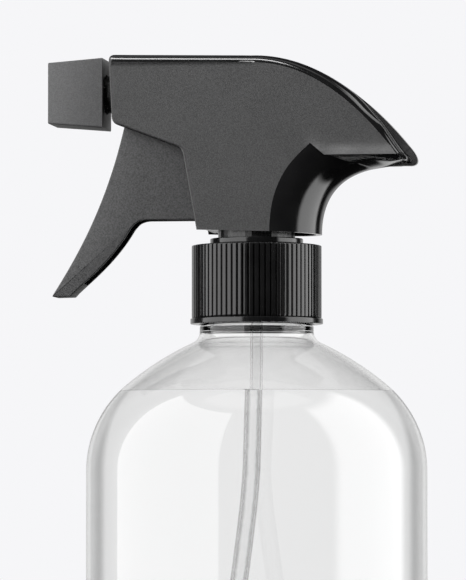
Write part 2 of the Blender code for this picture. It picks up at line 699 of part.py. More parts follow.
def make_nozzle_cap(made_of):
    """Square cap, taller at its back, that turns on the nose."""
    sections = []
    corner = 0.4 * MM
    for x, half_height in ((CAP_BACK, CAP_HALF_HEIGHT_BACK), (CAP_FRONT, CAP_HALF_HEIGHT_FRONT)):
        section = []
        for sy, sz in ((1, 1), (-1, 1), (-1, -1), (1, -1)):
            near = (x, sy * (CAP_HALF_WIDTH - corner), SPRAY_Z + sz * half_height)
            far = (x, sy * CAP_HALF_WIDTH, SPRAY_Z + sz * (half_height - corner))
            section += [far, near] if sy * sz > 0 else [near, far]
        sections.append(section)
    cap = loft("nozzle_cap", sections)
    bore = turned("cap_bore", mm_points(
        (0.0, -36.0), (5.0, -36.0), (5.0, -39.9), (5.6, -40.0), (5.6, -41.5), (5.0, -41.6), (5.0, -49.2),
        (2.3, -49.2), (2.3, -54.0), (0.0, -54.0)), "X", (0.0, SPRAY_Z), SMALL_STEPS)
    cut(cap, bore)
    finish(cap, made_of)
    put_origin(cap, (CAP_BACK, 0.0, SPRAY_Z))
    return cap


def make_orifice_cup(made_of):
    """Small cup in the front of the nozzle cap, with the spray hole in its middle."""
    made = turned("orifice_cup", mm_points(
        (0.3, -51.5), (2.0, -51.5), (2.0, -49.4), (1.4, -49.4), (1.4, -50.6), (0.3, -50.6)),
        "X", (0.0, SPRAY_Z), 20, made_of=made_of)
    return put_origin(made, (CAP_BACK, 0.0, SPRAY_Z))


def make_nozzle_seal(made_of):
    """O-ring in the nose's groove, between the nose and the cap's bore."""
    middle, section_r = 4.46 * MM, 0.44 * MM
    profile = []
    for k in range(6):
        turn = 2 * math.pi * k / 6
        profile.append((middle + section_r * math.cos(turn), -44.0 * MM + section_r * math.sin(turn)))
    return turned("nozzle_seal", profile, "X", (0.0, SPRAY_Z), 24, made_of=made_of)


# ---- assembly ----------------------------------------------------------------------------------------
def clear_scene():
    for thing in list(bpy.data.objects):
        bpy.data.objects.remove(thing)


def group(name, place, pieces):
    """Parent pieces to an empty without moving them."""
    holder = bpy.data.objects.new(name, None)
    bpy.context.scene.collection.objects.link(holder)
    holder.location = place
    for piece in pieces:
        piece.parent = holder
        piece.matrix_parent_inverse = Matrix.Translation(-Vector(place))
    return holder


def main():
    clear_scene()
    clear = plastic("clear_bottle", (0.93, 0.94, 0.95), 0.05, alpha=0.25, transmission=1.0)
    frosted = plastic("translucent_tube", (0.9, 0.91, 0.92), 0.2, alpha=0.6)
    matte_black = plastic("matte_black", (0.05, 0.05, 0.052), 0.5)
    ribbed_black = plastic("closure_black", (0.03, 0.03, 0.032), 0.3)
    body_black = plastic("body_black", (0.02, 0.02, 0.021), 0.3)
    white = plastic("white_moulding", (0.85, 0.85, 0.83), 0.35)
    soft = plastic("seal_rubber", (0.08, 0.08, 0.08), 0.7)
    steel = plastic("spring_steel", (0.6, 0.6, 0.62), 0.25, metallic=1.0)

    make_bottle(clear)
    closure = make_closure(ribbed_black)
    trigger = make_trigger(matte_black)
    head = [
        make_pump_body(body_black),
        make_retaining_ring(ribbed_black),
        make_neck_gasket(soft),
        make_tube_retainer(white),
        make_dip_tube(frosted),
        make_shroud(matte_black),
        make_swirl_insert(white),
        make_nozzle_seal(soft),
        ball("inlet_ball", 2.0 * MM, Vector((0.0, 0.0, 178.5 * MM)), steel),
        make_outlet_valve(white),
        coil("outlet_spring", -42.5 * MM, -34.5 * MM, SPRAY_Z, 2.1 * MM, 0.25 * MM, 5, 5, steel),
        make_nozzle_cap(matte_black),
        make_orifice_cup(white),
        make_piston(white),
        piston_ring("piston_seal", -3.2 * MM, soft),
        piston_ring("vent_seal", -5.3 * MM, soft),
        coil("return_spring", -2.0 * MM, CHAMBER_END - GAP, PUMP_Z, 4.3 * MM, 0.4 * MM, 4, 6, steel),
    ]
    group("head_frame", (0.0, 0.0, CLOSURE_Z), head + [closure, trigger])


main()
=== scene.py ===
"""Looks of the trigger spray bottle: fine surfaces, procedural materials, camera and studio light.

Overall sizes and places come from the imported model, and finer detail from the constants below. Lengths
that carry MM are millimetres; the rest are metres. +Z is up, the nozzle points along -X, and the
origin is the centre of the bottle's underside.
"""

import math

import bmesh
import bpy
from mathutils import Matrix, Vector


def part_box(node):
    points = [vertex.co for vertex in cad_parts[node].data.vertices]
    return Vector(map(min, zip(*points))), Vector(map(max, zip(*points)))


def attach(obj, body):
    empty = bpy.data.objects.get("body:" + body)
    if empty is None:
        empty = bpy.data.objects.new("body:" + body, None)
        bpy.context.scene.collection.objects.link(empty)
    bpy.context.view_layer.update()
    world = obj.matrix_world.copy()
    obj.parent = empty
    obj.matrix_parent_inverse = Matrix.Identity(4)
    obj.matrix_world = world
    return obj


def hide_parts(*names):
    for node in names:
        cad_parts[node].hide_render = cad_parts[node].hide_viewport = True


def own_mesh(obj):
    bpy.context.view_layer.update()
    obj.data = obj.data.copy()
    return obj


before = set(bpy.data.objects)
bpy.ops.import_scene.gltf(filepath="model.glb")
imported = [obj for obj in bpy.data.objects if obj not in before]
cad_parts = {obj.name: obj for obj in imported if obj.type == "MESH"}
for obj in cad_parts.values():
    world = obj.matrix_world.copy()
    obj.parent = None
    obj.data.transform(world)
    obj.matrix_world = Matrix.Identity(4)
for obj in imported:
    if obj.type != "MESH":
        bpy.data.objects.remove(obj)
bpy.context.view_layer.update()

MM = 0.001

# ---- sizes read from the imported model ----
BOTTLE_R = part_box("bottle")[1].x
LIP_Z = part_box("bottle")[1].z
CLOSURE_LOW, CLOSURE_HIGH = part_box("closure")
RING_LOW, RING_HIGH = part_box("retaining_ring")
SHROUD_LOW, SHROUD_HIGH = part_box("shroud")
HEAD_HALF = SHROUD_HIGH.y
CAP_LOW, CAP_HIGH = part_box("nozzle_cap")
SPRAY_Z = (CAP_LOW.z + CAP_HIGH.z) / 2
SEAL_LOW, SEAL_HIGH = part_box("piston_seal")
PUMP_Z = (SEAL_LOW.z + SEAL_HIGH.z) / 2
TRIGGER_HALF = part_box("trigger")[1].y

# ---- bottle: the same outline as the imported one, drawn finer ----
BOTTLE_WALL = 1.0 * MM
BASE_WALL = 1.6 * MM
HEEL_R = 8.0 * MM
SHOULDER_Z = 125.4 * MM
SHOULDER_R = 28.0 * MM
SHOULDER_TURN = math.radians(50.0)
UPPER_R = 75.0 * MM
NECK_R = 14.25 * MM
NECK_FILLET_R = 3.0 * MM
BEAD_TOP_Z = 161.6 * MM
THREAD_ROOT_R = 12.5 * MM
THREAD_CREST_R = 13.7 * MM
NECK_BORE_R = 10.9 * MM
PITCH = 25.4 / 6 * MM
THREAD_TURNS = 1.5
THREAD_TOP_Z = 175.2 * MM
LIQUID_Z = 144.7 * MM         # level of the clear liquid
LIQUID_OVERLAP = 0.1 * MM     # how far the liquid reaches into the wall, so that no air shows between

# ---- closure ----
RIB_COUNT = 72
RIB_R = 16.25 * MM
RIB_DEPTH = 0.55 * MM
FLANGE_HEIGHT = 1.4 * MM
CLOSURE_BORE_R = 14.05 * MM
CLOSURE_HOLE_R = 9.95 * MM
CLOSURE_ROOF = 1.35 * MM
CLOSURE_THREAD_DEPTH = 1.15 * MM

# ---- head ----
SHROUD_WALL = 1.5 * MM
NOSE_HOLE_R = 5.1 * MM
PIVOT = Vector((-27.0 * MM, 0.0, SPRAY_Z))
BAR = Vector((-19.0 * MM, 0.0, PUMP_Z))
TRIGGER_WALL = 1.1 * MM

# ---- dip tube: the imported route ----
TUBE_R = 1.575 * MM
TUBE_BORE_R = 1.0 * MM
TUBE_ROUTE = [
    (0.0, 0.0, 174.2), (0.0, 0.0, 160.0), (-0.1, 0.0, 148.0), (-0.5, 0.0, 138.0), (-1.1, 0.0, 122.0),
    (-2.2, 0.0, 108.0), (-3.8, 0.0, 92.0), (-6.4, 0.0, 72.0), (-9.8, 0.0, 50.0), (-13.6, 0.0, 28.0),
    (-17.4, 0.0, 7.0),
]

# ---- camera and light ----
CAMERA_YAW = math.radians(7.4)        # from straight in front towards the tail of the head
CAMERA_DISTANCE = 1.17                # from the bottle's axis
CAMERA_HEIGHT = 118.1 * MM
AIM_Z = 170.6 * MM
AIM_LEFT = 5.925 * MM
LENS = 290.5
BACKGROUND = (0.922, 0.922, 0.939)
# Soft panels: left, right, bottom and top edge and softness in degrees as the camera sees them, strength
PANELS = (
    (-108.0, -25.5, -25.0, 58.0, 0.8, 3.6),
    (55.5, 116.0, -42.0, 58.0, 5.0, 4.6),
    (-80.0, 80.0, 64.0, 80.0, 3.0, 1.2),
)
AMBIENT = 0.02
BEHIND = 0.9                          # pale backdrop that grazing reflections meet
THROUGH = 1.06                        # the same backdrop as seen through clear pieces
THROUGH_DIP = 0.5                     # how much darker it is to the far left and right
FLOOR_R = 1.1
FLOOR_TOP = -0.05 * MM


# ---- curve helpers ----
def mm_points(*pairs):
    return [tuple(value * MM for value in pair) for pair in pairs]


def arc(centre, radius, start, end, count):
    """Points on a circle from one angle to another, in degrees."""
    points = []
    for i in range(count + 1):
        turn = math.radians(start + (end - start) * i / count)
        points.append((centre[0] + radius * math.cos(turn), centre[1] + radius * math.sin(turn)))
    return points


def bezier(a, b, c, d, count):
    """Points on a cubic curve with end points a and d and handles b and c."""
    points = []
    for i in range(count + 1):
        t = i / count
        weights = ((1 - t) ** 3, 3 * (1 - t) ** 2 * t, 3 * (1 - t) * t * t, t ** 3)
        points.append(tuple(sum(w * p[k] for w, p in zip(weights, (a, b, c, d))) for k in range(2)))
    return points


def line(start, end, count):
    """Evenly spaced points from start to end, both included."""
    return [tuple(a + (b - a) * i / count for a, b in zip(start, end)) for i in range(count + 1)]


def rounded(corners, radius, count=5):
    """An open run of (x, z) corners with each inner corner rounded by a curve."""
    points = [corners[0]]
    for before, here, after in zip(corners, corners[1:], corners[2:]):
        p, q, r = Vector(before), Vector(here), Vector(after)
        reach = min(radius, (p - q).length * 0.45, (r - q).length * 0.45)
        start = q + (p - q).normalized() * reach
        end = q + (r - q).normalized() * reach
        for i in range(count + 1):
            t = i / count
            points.append(tuple((1 - t) ** 2 * start + 2 * t * (1 - t) * q + t * t * end))
    points.append(corners[-1])
    return points


def smooth_route(route, per_span):
    """A Catmull-Rom curve through the route's own points."""
    knots = [Vector(p) * MM for p in route]
    knots = [2 * knots[0] - knots[1]] + knots + [2 * knots[-1] - knots[-2]]
    points = []
    for i in range(1, len(knots) - 2):
        p0, p1, p2, p3 = knots[i - 1:i + 3]
        for k in range(per_span):
            t = k / per_span
            points.append(0.5 * (2 * p1 + (p2 - p0) * t + (2 * p0 - 5 * p1 + 4 * p2 - p3) * t * t
                                 + (3 * p1 - p0 - 3 * p2 + p3) * t ** 3))
    points.append(knots[-2])
    return points


def smooth_step(low, high, value):
    t = min(1.0, max(0.0, (value - low) / (high - low)))
    return t * t * (3 - 2 * t)


# ---- mesh helpers ----
SHARP = 35.0                  # edges that turn by more degrees than this stay sharp


def mesh_piece(name, points, faces, materials, sharp=SHARP, kinds=None):
    """A new smooth-shaded object; kinds gives each face's place in the list of materials."""
    work = bmesh.new()
    corners = [work.verts.new(p) for p in points]
    for i, face in enumerate(faces):
        made = work.faces.new([corners[k] for k in face])
        made.material_index = kinds[i] if kinds else 0
    bmesh.ops.remove_doubles(work, verts=work.verts, dist=1e-6)
    bmesh.ops.dissolve_degenerate(work, edges=work.edges, dist=1e-7)
    bmesh.ops.recalc_face_normals(work, faces=work.faces)
    mesh = bpy.data.meshes.new(name)
    work.to_mesh(mesh)
    work.free()
    piece = bpy.data.objects.new(name, mesh)
    bpy.context.scene.collection.objects.link(piece)
    for material in materials:
        mesh.materials.append(material)
    shade(piece, sharp)
    return piece


def shade(piece, sharp=SHARP):
    piece.data.shade_smooth()
    piece.data.set_sharp_from_angle(angle=math.radians(sharp))


def turned(name, profile, materials, axis="Z", centre=(0.0, 0.0), steps=96, radius_at=None, sharp=SHARP):
    """A solid of revolution from a closed profile of (radius, height) points.

    Along Z the centre is (x, y); along X or Y the height runs along that axis and the centre is (y, z)
    or (x, z). radius_at(i, turn, radius) may change the radius of profile point i with the angle.
    """
    rings = []
    points = []
    for i, (radius, height) in enumerate(profile):
        ring = []
        for k in range(steps if radius > 1e-9 else 1):
            turn = 2 * math.pi * k / steps
            here = radius_at(i, turn, radius) if radius_at else radius
            across, up = here * math.cos(turn), here * math.sin(turn)
            if axis == "Z":
                point = (centre[0] + across, centre[1] + up, height)
            elif axis == "X":
                point = (height, centre[0] + across, centre[1] + up)
            else:
                point = (centre[0] + across, height, centre[1] + up)
            ring.append(len(points))
            points.append(point)
        rings.append(ring)
    faces = []
    for i, low in enumerate(rings):
        high = rings[(i + 1) % len(rings)]
        if len(low) == 1 and len(high) == 1:
            continue
        for k in range(steps):
            n = (k + 1) % steps
            if len(low) == 1:
                faces.append((low[0], high[n], high[k]))
            elif len(high) == 1:
                faces.append((low[k], low[n], high[0]))
            else:
                faces.append((low[k], low[n], high[n], high[k]))
    return mesh_piece(name, points, faces, materials, sharp)


def rod(name, radius, low, high, materials, axis="Z", centre=(0.0, 0.0), steps=64):
    profile = [(0.0, low), (radius, low), (radius, high), (0.0, high)]
    return turned(name, profile, materials, axis, centre, steps)


def band_faces(count, rings):
    """Quads between rings of count points that follow one another in a list of points."""
    faces = []
    for s in range(rings - 1):
        for i in range(count):
            n = (i + 1) % count
            faces.append((s * count + i, s * count + n, (s + 1) * count + n, (s + 1) * count + i))
    return faces


def end_faces(count, total):
    """The two faces that close the first and the last ring."""
    return [tuple(range(count)), tuple(range(total - 1, total - count - 1, -1))]


def loft(name, sections, materials, closed=True, sharp=SHARP):
    """A surface through rings of points that match one another, with its ends closed or left open."""
    count = len(sections[0])
    points = [point for section in sections for point in section]
    faces = end_faces(count, len(points)) if closed else []
    return mesh_piece(name, points, faces + band_faces(count, len(sections)), materials, sharp)


def rings_along(path, radius, sides):
    """Rings of points around a path, each square to it, without twist."""
    across = None
    rings = []
    for i, here in enumerate(path):
        ahead = (path[min(i + 1, len(path) - 1)] - path[max(i - 1, 0)]).normalized()
        if across is None:
            across = ahead.orthogonal().normalized()
        across = (across - ahead * across.dot(ahead)).normalized()
        side = ahead.cross(across)
        ring = []
        for k in range(sides):
            turn = 2 * math.pi * k / sides
            ring.append(here + radius * (math.cos(turn) * across + math.sin(turn) * side))
        rings.append(ring)
    return rings


def inset_outline(outline, distance):
    """A closed (x, z) outline moved inwards by a distance; the outline runs anticlockwise."""
    moved = []
    count = len(outline)
    for i, here in enumerate(outline):
        back = (Vector(here) - Vector(outline[i - 1])).normalized()
        ahead = (Vector(outline[(i + 1) % count]) - Vector(here)).normalized()
        normal = Vector((-back.y - ahead.y, back.x + ahead.x))
        if normal.length < 1e-9:
            normal = Vector((-back.y, back.x))
        normal.normalize()
        stretch = 1.0 / max(0.5, normal.dot(Vector((-back.y, back.x))))
        moved.append(tuple(Vector(here) + normal * distance * stretch))
    return moved


def anticlockwise(outline):
    area = sum(a[0] * b[1] - b[0] * a[1] for a, b in zip(outline, outline[1:] + outline[:1]))
    return outline if area > 0 else outline[::-1]


def rounded_prism(name, outline, half, fillet, materials):
    """An (x, z) outline extruded along Y to half on both sides, with rounded edges."""
    outline = anticlockwise(outline)
    turns = 4
    levels = []
    for k in range(turns + 1):
        turn = math.pi / 2 * k / turns
        levels.append((-half + fillet * (1 - math.sin(turn)), fillet * (1 - math.cos(turn))))
    levels = levels[::-1]
    levels += [(-y, inset) for y, inset in levels[::-1]]
    points = []
    for y, inset in levels:
        points += [(x, y, z) for x, z in (inset_outline(outline, inset) if inset > 1e-9 else outline)]
    count = len(outline)
    return mesh_piece(name, points, end_faces(count, len(points)) + band_faces(count, len(levels)), materials)


def combine(piece, other, operation):
    """Apply an exact Boolean of two objects to the first one and remove the second."""
    step = piece.modifiers.new(operation.lower(), "BOOLEAN")
    step.operation = operation
    step.solver = "EXACT"
    step.object = other
    bpy.context.view_layer.update()
    shaped = bpy.data.meshes.new_from_object(piece.evaluated_get(bpy.context.evaluated_depsgraph_get()))
    piece.modifiers.clear()
    piece.data = shaped
    bpy.data.objects.remove(other)
    return piece


def cut(piece, *others):
    for other in others:
        combine(piece, other, "DIFFERENCE")
    shade(piece)
    return piece


def unite(piece, *others):
    for other in others:
        combine(piece, other, "UNION")
    shade(piece)
    return piece


def keep(piece, body, slot_name, *nodes):
    """Let a finished piece ride on its body and stand for its CAD nodes."""
    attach(piece, body)
    if nodes:
        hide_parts(*nodes)
    return piece


# ---- material helpers ----
class Nodes:
    """Short names for building one node tree."""

    def __init__(self, tree):
        self.tree = tree
        self.tree.nodes.clear()

    def add(self, kind, **settings):
        node = self.tree.nodes.new(kind)
        for key, value in settings.items():
            setattr(node, key, value)
        return node

    def link(self, source, target):
        self.tree.links.new(source, target)

    def math(self, operation, first, second=0.0):
        node = self.add("ShaderNodeMath", operation=operation)
        for socket, value in zip(node.inputs, (first, second)):
            if isinstance(value, (int, float)):
                socket.default_value = value
            else:
                self.link(value, socket)
        return node.outputs[0]

    def spread(self, value, low, high, to_low, to_high, smooth=False):
        node = self.add("ShaderNodeMapRange", interpolation_type="SMOOTHSTEP" if smooth else "LINEAR")
        self.link(value, node.inputs["Value"])
        for key, number in zip(("From Min", "From Max", "To Min", "To Max"), (low, high, to_low, to_high)):
            node.inputs[key].default_value = number
        return node.outputs["Result"]

    def place(self, scale=(1.0, 1.0, 1.0)):
        where = self.add("ShaderNodeTexCoord")
        mapping = self.add("ShaderNodeMapping")
        mapping.inputs["Scale"].default_value = scale
        self.link(where.outputs["Object"], mapping.inputs["Vector"])
        return mapping.outputs["Vector"]

    def noise(self, where, size, detail=2.0, rough=0.5):
        """Noise whose features are about size metres across."""
        node = self.add("ShaderNodeTexNoise")
        node.inputs["Scale"].default_value = 1.0 / size
        node.inputs["Detail"].default_value = detail
        node.inputs["Roughness"].default_value = rough
        self.link(where, node.inputs["Vector"])
        return node.outputs["Fac"]

    def bump(self, height, strength, distance, before=None):
        node = self.add("ShaderNodeBump")
        node.inputs["Strength"].default_value = strength
        node.inputs["Distance"].default_value = distance
        self.link(height, node.inputs["Height"])
        if before is not None:
            self.link(before, node.inputs["Normal"])
        return node.outputs["Normal"]

    def tint(self, value, dark, light, low=0.3, high=0.7):
        """A colour between dark and light, as value goes from low to high."""
        ramp = self.add("ShaderNodeValToRGB")
        ramp.color_ramp.elements[0].position = low
        ramp.color_ramp.elements[0].color = (*dark, 1.0)
        ramp.color_ramp.elements[1].position = high
        ramp.color_ramp.elements[1].color = (*light, 1.0)
        self.link(value, ramp.inputs["Fac"])
        return ramp.outputs["Color"]

    def shader(self, colour, roughness=None, normal=None, **values):
        """The Principled shader with its linked inputs, and plain numbers for the rest."""
        node = self.add("ShaderNodeBsdfPrincipled")
        for key, value in values.items():
            node.inputs[key.replace("_", " ")].default_value = value
        for key, source in (("Base Color", colour), ("Roughness", roughness), ("Normal", normal)):
            if source is not None:
                self.link(source, node.inputs[key])
        out = self.add("ShaderNodeOutputMaterial")
        self.link(node.outputs["BSDF"], out.inputs["Surface"])


def new_material(name):
    material = bpy.data.materials.new(name)
    material.use_nodes = True
    return material, Nodes(material.node_tree)


def grained_plastic(name, dark, light, roughness, grain, depth, specks=0.0):
    """Spark-eroded moulded plastic: fine grain, a slow change of gloss, and optional small dark pits."""
    material, n = new_material(name)
    where = n.place()
    fine = n.noise(where, grain, 3.0, 0.6)
    slow = n.noise(where, 9 * MM, 2.0)
    colour = n.tint(fine, dark, light, 0.35, 0.65)
    normal = n.bump(fine, 0.55, depth)
    if specks:
        cells = n.add("ShaderNodeTexVoronoi")
        cells.inputs["Scale"].default_value = 1.0 / (1.1 * MM)
        n.link(where, cells.inputs["Vector"])
        pit = n.spread(cells.outputs["Distance"], 0.06, 0.2, 0.0, 1.0, smooth=True)
        mix = n.add("ShaderNodeMix", data_type="RGBA", blend_type="MULTIPLY")
        mix.inputs["Factor"].default_value = specks
        n.link(colour, mix.inputs["A"])
        n.link(pit, mix.inputs["B"])
        colour = mix.outputs["Result"]
        normal = n.bump(pit, specks, depth * 2, normal)
    gloss = n.spread(slow, 0.3, 0.7, roughness - 0.04, roughness + 0.05)
    n.shader(colour, gloss, normal, Specular_IOR_Level=0.5)
    return material


def polished_plastic(name, dark, light, roughness):
    """Glossy moulded plastic with a faint flow in its surface and fine handling marks in its gloss."""
    material, n = new_material(name)
    flow = n.noise(n.place(), 6 * MM, 1.0)
    marks = n.noise(n.place((1.0, 1.0, 0.25)), 0.7 * MM, 3.0, 0.65)
    gloss = n.spread(marks, 0.35, 0.75, roughness * 0.8, roughness * 1.5)
    n.shader(n.tint(flow, dark, light), gloss, n.bump(flow, 0.25, 0.02 * MM), Specular_IOR_Level=0.5)
    return material


def clear_plastic(name):
    """Clear blown plastic: nearly colourless, with a slow change of tint and gloss."""
    material, n = new_material(name)
    flow = n.noise(n.place((1.0, 1.0, 0.35)), 14 * MM, 1.0)
    n.shader(n.tint(flow, (0.995, 0.995, 0.995), (1.0, 1.0, 1.0)), n.spread(flow, 0.3, 0.7, 0.0, 0.004),
             IOR=1.47, Transmission_Weight=1.0)
    return material


def clear_liquid(name):
    """Clear cleaning liquid; a very slow change of tint keeps it from looking like solid glass."""
    material, n = new_material(name)
    slow = n.noise(n.place(), 40 * MM, 1.0)
    n.shader(n.tint(slow, (0.985, 0.988, 0.99), (0.995, 0.996, 0.997)), IOR=1.42, Transmission_Weight=1.0,
             Roughness=0.0)
    return material


def tube_plastic(name):
    """Drawn tube: translucent, with painted shade in its colour, darker where it turns away from the view,
    most of all and mottled below the liquid level.
    """
    material, n = new_material(name)
    lines = n.noise(n.place((1.0, 1.0, 0.02)), 0.25 * MM, 2.0)
    mottle = n.noise(n.place(), 0.45 * MM, 3.0, 0.6)
    # Painted shade: the Layer Weight darkens the tube's colour where it turns away from the view, standing in
    # for the dark edges that refraction draws.
    turned_away = n.add("ShaderNodeLayerWeight")
    turned_away.inputs["Blend"].default_value = 0.5
    axes = n.add("ShaderNodeSeparateXYZ")
    n.link(n.place(), axes.inputs["Vector"])
    # Painted shade: the tube's colour is darker below the liquid level.
    painted_shade_in_liquid = n.spread(axes.outputs["Z"], LIQUID_Z - 0.5 * MM, LIQUID_Z, 0.4, 0.0)
    uneven = n.math("MULTIPLY", n.math("SUBTRACT", mottle, 0.5), 0.7)
    mixed = n.math("ADD", turned_away.outputs["Facing"], uneven)
    # The summed mask becomes the base colour, from clear 0.97 down to a painted dark edge of 0.42.
    edge = n.spread(n.math("ADD", mixed, painted_shade_in_liquid), 0.5, 0.85, 0.97, 0.42, smooth=True)
    n.shader(edge, n.spread(mottle, 0.3, 0.7, 0.02, 0.1), n.bump(lines, 0.3, 0.02 * MM), IOR=1.5,
             Transmission_Weight=1.0)
    return material


def rubber(name):
    """Matte seal rubber with a dusty bloom."""
    material, n = new_material(name)
    where = n.place()
    bloom = n.noise(where, 1.5 * MM, 3.0)
    n.shader(n.tint(bloom, (0.02, 0.02, 0.021), (0.05, 0.05, 0.05)), n.spread(bloom, 0.3, 0.7, 0.6, 0.8),
             n.bump(n.noise(where, 0.2 * MM), 0.3, 0.02 * MM), Specular_IOR_Level=0.35)
    return material


def drawn_steel(name):
    """Drawn spring wire: fine draw marks and slight bluing."""
    material, n = new_material(name)
    marks = n.noise(n.place((0.15, 1.0, 1.0)), 0.12 * MM, 2.0)
    heat = n.noise(n.place(), 2.5 * MM, 2.0)
    n.shader(n.tint(heat, (0.5, 0.5, 0.52), (0.66, 0.65, 0.64)), n.spread(marks, 0.3, 0.7, 0.18, 0.38),
             n.bump(marks, 0.2, 0.01 * MM), Metallic=1.0)
    return material


def floor_paint(name):
    """Pale floor paint with a slow change of tone and a faint roll mark."""
    material, n = new_material(name)
    where = n.place()
    n.shader(n.tint(n.noise(where, 0.5, 2.0), (0.8, 0.8, 0.81), (0.84, 0.84, 0.85)),
             normal=n.bump(n.noise(where, 3 * MM), 0.1, 0.1 * MM), Roughness=0.7, Specular_IOR_Level=0.2)
    return material


MATTE = grained_plastic("head_side_grain", (0.008, 0.008, 0.0082), (0.034, 0.034, 0.0345), 0.48, 0.28 * MM,
                        0.05 * MM)
RIM_MATTE = grained_plastic("head_rim_grain", (0.02, 0.02, 0.0205), (0.034, 0.034, 0.0345), 0.5, 0.25 * MM,
                            0.02 * MM)
CAP_MATTE = grained_plastic("cap_grain", (0.045, 0.045, 0.046), (0.075, 0.075, 0.076), 0.5, 0.25 * MM,
                            0.03 * MM)
TRIGGER_MATTE = grained_plastic("trigger_grain", (0.025, 0.025, 0.0255), (0.06, 0.06, 0.061), 0.52, 0.32 * MM,
                                0.04 * MM, specks=0.5)
GLOSS = polished_plastic("head_gloss", (0.004, 0.004, 0.0042), (0.006, 0.006, 0.0062), 0.12)
CLOSURE_GLOSS = polished_plastic("closure_gloss", (0.005, 0.005, 0.0052), (0.008, 0.008, 0.0082), 0.14)
BODY_BLACK = polished_plastic("pump_body_black", (0.006, 0.006, 0.0062), (0.01, 0.01, 0.0102), 0.25)
PALE = polished_plastic("pale_moulding", (0.7, 0.7, 0.68), (0.78, 0.78, 0.76), 0.35)
PET = clear_plastic("bottle_clear")
LIQUID = clear_liquid("liquid_clear")
TUBE = tube_plastic("tube_clear")
RUBBER = rubber("seal_black")
STEEL = drawn_steel("spring_wire")


# ---- bottle and liquid ----
def bottle_skin(inset, floor, detail):
    """The (radius, height) line of the bottle's skin, from the axis up to the neck's bead."""
    low_centre = (BOTTLE_R - SHOULDER_R, SHOULDER_Z)
    reach = UPPER_R - SHOULDER_R
    high_centre = (low_centre[0] - reach * math.cos(SHOULDER_TURN),
                   low_centre[1] - reach * math.sin(SHOULDER_TURN))
    fillet_x = NECK_R + NECK_FILLET_R
    fillet_z = high_centre[1] + math.sqrt((UPPER_R + NECK_FILLET_R) ** 2 - (fillet_x - high_centre[0]) ** 2)
    meet = math.degrees(math.atan2(fillet_z - high_centre[1], fillet_x - high_centre[0]))
    line_up = [(0.0, floor), (BOTTLE_R * 0.4, floor)]
    heel = arc((BOTTLE_R - HEEL_R, HEEL_R), HEEL_R - inset, -90, 0, 2 * detail)
    line_up += [(r, max(z, floor)) for r, z in heel]
    line_up += line((BOTTLE_R - inset, HEEL_R), (BOTTLE_R - inset, SHOULDER_Z), 2 * detail)[1:-1]
    line_up += arc(low_centre, SHOULDER_R - inset, 0, math.degrees(SHOULDER_TURN), 3 * detail)
    line_up += arc(high_centre, UPPER_R - inset, math.degrees(SHOULDER_TURN), meet, 2 * detail)[1:]
    line_up += arc((fillet_x, fillet_z), NECK_FILLET_R + inset, meet + 180, 180, detail)[1:]
    return line_up


def thread_crest(turn, z, start_z, turns, half):
    """How far up its flank, from 0 to 1, a helical thread stands at an angle and a height."""
    best = 0.0
    for lap in range(int(turns) + 2):
        along = turn / (2 * math.pi) + lap
        if along > turns:
            continue
        run_out = min(1.0, min(along, turns - along) / 0.12)
        off = abs(z - start_z - PITCH * along)
        best = max(best, run_out * (1.0 - smooth_step(half * 0.45, half, off)))
    return best


def make_bottle():
    """One closed wall with the neck's bead, thread and rounded lip."""
    outside = bottle_skin(0.0, 0.0, 8)
    bead_edge = 0.35 * MM
    outside += rounded([(NECK_R, BEAD_TOP_Z - 1.0 * MM), (NECK_R, BEAD_TOP_Z), (THREAD_ROOT_R, BEAD_TOP_Z),
                        (THREAD_ROOT_R, BEAD_TOP_Z + 1.0 * MM)], bead_edge, 4)
    thread_from = len(outside)
    outside += line((THREAD_ROOT_R, BEAD_TOP_Z + 1.1 * MM), (THREAD_ROOT_R, LIP_Z - 0.9 * MM), 44)
    thread_to = len(outside)
    outside += rounded([(THREAD_ROOT_R, LIP_Z - 0.8 * MM), (THREAD_ROOT_R, LIP_Z), (NECK_BORE_R, LIP_Z),
                        (NECK_BORE_R, LIP_Z - 1.0 * MM)], 0.4 * MM, 4)
    inside = bottle_skin(BOTTLE_WALL, BASE_WALL, 8)
    inside[-1] = (NECK_BORE_R + 0.6 * MM, BEAD_TOP_Z - 2.4 * MM)
    inside.append((NECK_BORE_R, BEAD_TOP_Z - 0.4 * MM))
    profile = outside + inside[::-1]
    start_z = THREAD_TOP_Z - THREAD_TURNS * PITCH

    def radius_at(i, turn, radius):
        if not thread_from <= i < thread_to:
            return radius
        crest = thread_crest(turn, profile[i][1], start_z, THREAD_TURNS, 1.2 * MM)
        return radius + (THREAD_CREST_R - THREAD_ROOT_R) * crest

    bottle = turned("bottle_wall", profile, [PET], steps=192, radius_at=radius_at)
    return keep(bottle, "bottle", "clear_bottle", "bottle")


def make_liquid():
    """Clear liquid up to its level, with the surface curving up where it meets the wall."""
    skin = bottle_skin(BOTTLE_WALL - LIQUID_OVERLAP, BASE_WALL - LIQUID_OVERLAP, 10)
    below = [p for p in skin if p[1] < LIQUID_Z]
    meet = math.asin((LIQUID_Z - SHOULDER_Z) / (SHOULDER_R - BOTTLE_WALL + LIQUID_OVERLAP))
    rim_r = BOTTLE_R - SHOULDER_R + (SHOULDER_R - BOTTLE_WALL + LIQUID_OVERLAP) * math.cos(meet)
    surface = []
    reach, rise = 2.6 * MM, 0.7 * MM
    for i in range(13):
        share = i / 12
        radius = rim_r - 0.15 * MM - reach * share
        surface.append((radius, LIQUID_Z - rise * (1 - (1 - share) ** 2.5)))
    level = surface[-1][1]
    surface += [(rim_r * share, level) for share in (0.7, 0.4)] + [(0.0, level)]
    liquid = turned("liquid", below + [(rim_r, LIQUID_Z)] + surface, [LIQUID], steps=192)
    return keep(liquid, "bottle", "clear_bottle")


